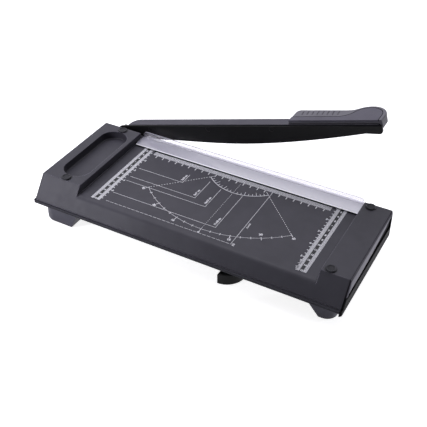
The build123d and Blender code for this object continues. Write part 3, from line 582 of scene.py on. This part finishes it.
def side_ruler(side, centre, inward):
    """Millimetres on the outside, numbers on a dark ground, inches on the inside."""
    def ticks(step, width, reach):
        rows = []
        for i in range(int((CUT_ROW - SIDE_END) / step) + 1):
            y = CUT_ROW - i * step
            if y <= SIDE_START:
                near, far = sorted(centre + inward * edge for edge in reach(i))
                rows.append(block(near, far, y - width / 2, y + width / 2))
        return rows

    def inch_reach(i):
        return INCH_BASE, INCH_QUARTER if i % 4 == 0 else INCH_SIXTEENTH

    shapes = ticks(0.1, TICK, lambda i: MM_BAND) + ticks(INCH_CM / 16, INCH_TICK, inch_reach)
    figures("ruler_" + side, shapes, INK)
    near, far = sorted(centre + inward * edge for edge in NUMBER_BAND)
    ground = [block(near, far, SIDE_END, SIDE_START)]
    figures("ruler_ground_" + side, ground, DARK_INK, GROUND_HEIGHT)
    numbers = [(str(n), centre, CUT_ROW - n, 0, SMALL_TYPE if n < 10 else PAIR_TYPE)
               for n in range(CM_NUMBERS[0], CM_NUMBERS[1] + 1)]
    numbers += [(str(n), centre + inward * INCH_NUMBERS, CUT_ROW - n * INCH_CM, 0, INCH_TYPE)
                for n in range(2, LAST_INCH + 1)]
    lettering("ruler_numbers_" + side, numbers, INK)


TOP_MM_START, TOP_MM_COUNT = 3.4, 254           # from the stop
TOP_CM_START, TOP_CM_COUNT = 4, 25
TOP_MM_ROWS, TOP_CM_ROWS = (CLAMP_ROW, -0.1), (-1.32, CLAMP_ROW)
TOP_MM_TICK, TOP_CM_TICK = 0.06, 0.11


def top_ruler():
    """Millimetres along the clamp, longer at each centimetre."""
    shapes = []
    for i in range(TOP_MM_COUNT):
        x = STOP_COLUMN + TOP_MM_START + i * 0.1
        shapes.append(block(x - TOP_MM_TICK / 2, x + TOP_MM_TICK / 2, *TOP_MM_ROWS))
    for i in range(TOP_CM_COUNT):
        x = STOP_COLUMN + TOP_CM_START + i
        shapes.append(block(x - TOP_CM_TICK / 2, x + TOP_CM_TICK / 2, *TOP_CM_ROWS))
    figures("ruler_top", shapes, INK)


FORMATS = (                           # label, column and row of the corner, rows of top and label
    ("7x10 cm", 7.84, -4.46, -2.59, -3.45),
    ("9x13 cm", 10.84, -6.53, -2.58, -5.45),
    ("10x15 cm", 12.84, -7.51, -3.42, -6.25),
    ("13x18 cm", 15.87, -10.46, -3.36, -9.35),
)
FRAME_LINE = 0.055
FRAME_START = 1.27
LABEL_INSET = 0.32                    # from the upright to the middle of its label
LABEL_TYPE = (0.38, 0.022)
A5_CORNER = (18.86, -12.3)
A5_START = FRAME_START + 0.2
A5_DASH = (0.5, 0.12)
A5_OUTSET = 0.34
A5_ROWS = (-12.25, -8.3)              # of its name and its size
A5_TYPE, A5_SIZE_TYPE = (0.4, 0.022), (0.3, 0.016)


def format_frames():
    """Corners of the usual photo and paper sizes, measured from the stop and the cut."""
    shapes = []
    words = []
    for label, x, y, top, middle in FORMATS:
        shapes.append(stroke((FRAME_START, y), (x + FRAME_LINE / 2, y), FRAME_LINE))
        shapes.append(stroke((x, y + FRAME_LINE / 2), (x, top), FRAME_LINE))
        words.append((label, x - LABEL_INSET, middle, 90, LABEL_TYPE))
    x, y = A5_CORNER
    shapes += dashes((A5_START, y), (x, y), FRAME_LINE, *A5_DASH)
    shapes.append(stroke((x, y - FRAME_LINE / 2), (x, CLAMP_ROW), FRAME_LINE))
    words.append(("A5", x + A5_OUTSET, A5_ROWS[0], 90, A5_TYPE))
    words.append(("21x14.8", x + A5_OUTSET, A5_ROWS[1], 90, A5_SIZE_TYPE))
    figures("format_frames", shapes, INK)
    lettering("format_labels", words, INK)


PROTRACTOR = (14.5, CUT_ROW)
ANGLE_LIMIT = 45
INNER_ARC, OUTER_ARC = 5.8, 14.0
INNER_LINE, OUTER_LINE = 0.09, 0.05
INNER_FULL, INNER_HALF, INNER_TICK = 0.7, 0.4, 0.06
OUTER_FULL, OUTER_HALF, OUTER_TICK = 0.38, 0.17, 0.1
RAY_START = INNER_ARC + 0.1
RAY_DASH = (0.085, 0.15, 0.2)         # width, dash and gap
AXIS_ROWS = (-1.2, -12.04)
AXIS_DASH = (0.05, 0.16, 0.18)
ANGLE_RADIUS, INNER_ANGLE_RADIUS = 14.68, 13.35
ANGLE_TYPE = (0.46, 0.028)


def protractor():
    """Angles from the middle of the cut, every five degrees."""
    shapes = arc(PROTRACTOR, INNER_ARC, ANGLE_LIMIT, INNER_LINE)
    shapes += arc(PROTRACTOR, OUTER_ARC, ANGLE_LIMIT, OUTER_LINE)
    for angle in range(-ANGLE_LIMIT, ANGLE_LIMIT + 1, 5):
        full = angle % 15 == 0
        if angle != 0:                # the dotted axis takes the place of that tick
            inner = INNER_ARC - (INNER_FULL if full else INNER_HALF)
            shapes.append(stroke(polar(PROTRACTOR, inner, angle),
                                 polar(PROTRACTOR, INNER_ARC, angle), INNER_TICK))
        outer = OUTER_ARC + (OUTER_FULL if full else OUTER_HALF)
        shapes.append(stroke(polar(PROTRACTOR, OUTER_ARC - OUTER_HALF, angle),
                             polar(PROTRACTOR, outer, angle), OUTER_TICK))
    for angle in (-ANGLE_LIMIT, ANGLE_LIMIT):
        shapes += dashes(polar(PROTRACTOR, RAY_START, angle),
                         polar(PROTRACTOR, OUTER_ARC, angle), *RAY_DASH)
    axis_start, axis_end = ((PROTRACTOR[0], row) for row in AXIS_ROWS)
    shapes += dashes(axis_start, axis_end, *AXIS_DASH)
    figures("protractor", shapes, INK)
    words = []
    for angle in range(-ANGLE_LIMIT, ANGLE_LIMIT + 1, 15):
        # A format's corner takes up the place outside the arc at this one.
        radius = INNER_ANGLE_RADIUS if angle == 30 else ANGLE_RADIUS
        words.append((str(abs(angle)), *polar(PROTRACTOR, radius, angle), angle, ANGLE_TYPE))
    lettering("protractor_numbers", words, INK)


UNITS = (
    ("cm", 27.2, -12.2, 90, (0.42, 0.026)),
    ("inch", 27.2, -11.2, 90, (0.38, 0.022)),
)

for side, centre, inward in SIDE_RULERS:
    side_ruler(side, centre, inward)
top_ruler()
format_frames()
protractor()
lettering("unit_labels", UNITS, INK)

# ---------------------------------------------------------------- light and stage
STUDIO_TINT = "#f8f7ff"


def aim(obj, position, target):
    """Stands the object at the position, with its -Z turned to the target."""
    obj.location = position
    turn = Vector(target) - Vector(position)
    obj.rotation_euler = turn.to_track_quat("-Z", "Y").to_euler()


def lamp(name, kind, position, target, power):
    """A studio lamp turned to its target."""
    data = bpy.data.lights.new(name, kind)
    data.energy = power
    data.color = srgb(STUDIO_TINT)[:3]
    body = bpy.data.objects.new(name, data)
    bpy.context.collection.objects.link(body)
    body.visible_camera = False
    aim(body, position, target)
    return data


def area_light(name, position, target, size, power):
    """A soft box."""
    data = lamp(name, "AREA", position, target, power)
    data.shape = "RECTANGLE"
    data.size, data.size_y = size


def spot_light(name, position, target, degrees, size, power):
    """A soft cone that fades towards its edge."""
    data = lamp(name, "SPOT", position, target, power)
    data.spot_size = math.radians(degrees)
    data.spot_blend = 1.0
    data.shadow_soft_size = size


def seen(tree):
    """One where the camera looks, also in metal and through glass, and zero for the light."""
    path = tree.nodes.new("ShaderNodeLightPath")
    plain = math_node(tree, "MAXIMUM", path.outputs["Is Camera Ray"],
                      path.outputs["Is Transmission Ray"])
    return math_node(tree, "MAXIMUM", plain, path.outputs["Is Glossy Ray"])


FLOOR_SIZE = 8.0
FLOOR_GLOW = 0.86                     # what the eye sees beyond the light that falls on it
FLOOR_COLOR = "#e4e4e6"


def floor():
    """White desk: pure white to the camera, and it keeps the object's soft shadow."""
    bpy.ops.mesh.primitive_plane_add(size=FLOOR_SIZE, location=(0, 0, 0))
    desk = bpy.context.object
    desk.name = "floor"
    material, tree, shader = new_material("white_floor", FLOOR_COLOR, 0.9, specular=0.0)
    light = tree.nodes.new("ShaderNodeEmission")
    light.inputs["Color"].default_value = srgb("#ffffff")
    tree.links.new(times(tree, seen(tree), FLOOR_GLOW), light.inputs["Strength"])
    both = tree.nodes.new("ShaderNodeAddShader")
    tree.links.new(shader.outputs[0], both.inputs[0])
    tree.links.new(light.outputs[0], both.inputs[1])
    tree.links.new(both.outputs[0], tree.nodes["Material Output"].inputs["Surface"])
    desk.data.materials.append(material)


WORLD_BRIGHT_SIDE = (-0.55, 0.55, 0.62)
WORLD_LEVELS = (0.015, 0.85)          # darkest and brightest part of the studio
WORLD_FADE = (0.1, 0.97)              # between these agreements with the bright side


def world():
    """White backdrop, and a studio whose light comes from the rear left."""
    sky = bpy.data.worlds.new("studio")
    bpy.context.scene.world = sky
    sky.use_nodes = True
    tree = sky.node_tree
    backdrop = tree.nodes["Background"]
    white = seen(tree)
    tree.links.new(mix(tree, white, STUDIO_TINT, "#ffffff"), backdrop.inputs["Color"])
    facing = tree.nodes.new("ShaderNodeVectorMath")
    facing.operation = "DOT_PRODUCT"
    direction = tree.nodes.new("ShaderNodeTexCoord").outputs["Generated"]
    tree.links.new(direction, facing.inputs[0])
    facing.inputs[1].default_value = Vector(WORLD_BRIGHT_SIDE).normalized()
    level = spread(tree, facing.outputs["Value"], *WORLD_LEVELS, *WORLD_FADE)
    tree.links.new(math_node(tree, "MAXIMUM", white, level), backdrop.inputs["Strength"])


floor()
world()
area_light("top", position=(-0.38, 0.36, 1.28), target=(-0.1, 0.02, 0.03), size=(1.1, 0.8),
           power=9.0)
# The brightest part of the front, at the left block.
spot_light("key", position=(-0.56, -0.64, 0.42), target=(-0.22, -0.09, 0.03), degrees=40,
           size=0.12, power=15.0)
# The light face over the hollow in the right end.
spot_light("rear_right", position=(0.5, 0.2, 0.04), target=(0.21, -0.03, 0.036), degrees=36,
           size=0.02, power=6.0)

# ---------------------------------------------------------------- camera
CAMERA_PLACE = (0.3771, -0.70815, 0.635)
CAMERA_AZIMUTH = math.radians(28.41)
CAMERA_ELEVATION = math.radians(37.89)
CAMERA_ROLL = math.radians(0.34)
CAMERA_LENS, CAMERA_SENSOR = 66.88, 36.0        # millimetres
CAMERA_CLIP = (0.02, 20.0)


def camera():
    """The photograph's viewpoint."""
    data = bpy.data.cameras.new("camera")
    data.sensor_width = CAMERA_SENSOR
    data.lens = CAMERA_LENS
    data.clip_start, data.clip_end = CAMERA_CLIP
    view = bpy.data.objects.new("camera", data)
    bpy.context.collection.objects.link(view)
    back = Vector((
        math.sin(CAMERA_AZIMUTH) * math.cos(CAMERA_ELEVATION),
        -math.cos(CAMERA_AZIMUTH) * math.cos(CAMERA_ELEVATION),
        math.sin(CAMERA_ELEVATION),
    ))
    right = (-back).cross(Vector((0, 0, 1))).normalized()
    up = right.cross(-back)
    rolled_right = right * math.cos(CAMERA_ROLL) + up * math.sin(CAMERA_ROLL)
    rolled_up = up * math.cos(CAMERA_ROLL) - right * math.sin(CAMERA_ROLL)
    turn = Matrix((rolled_right, rolled_up, back)).transposed().to_4x4()
    view.matrix_world = Matrix.Translation(CAMERA_PLACE) @ turn
    bpy.context.scene.camera = view


camera()

bpy.context.scene.view_settings.view_transform = "Standard"
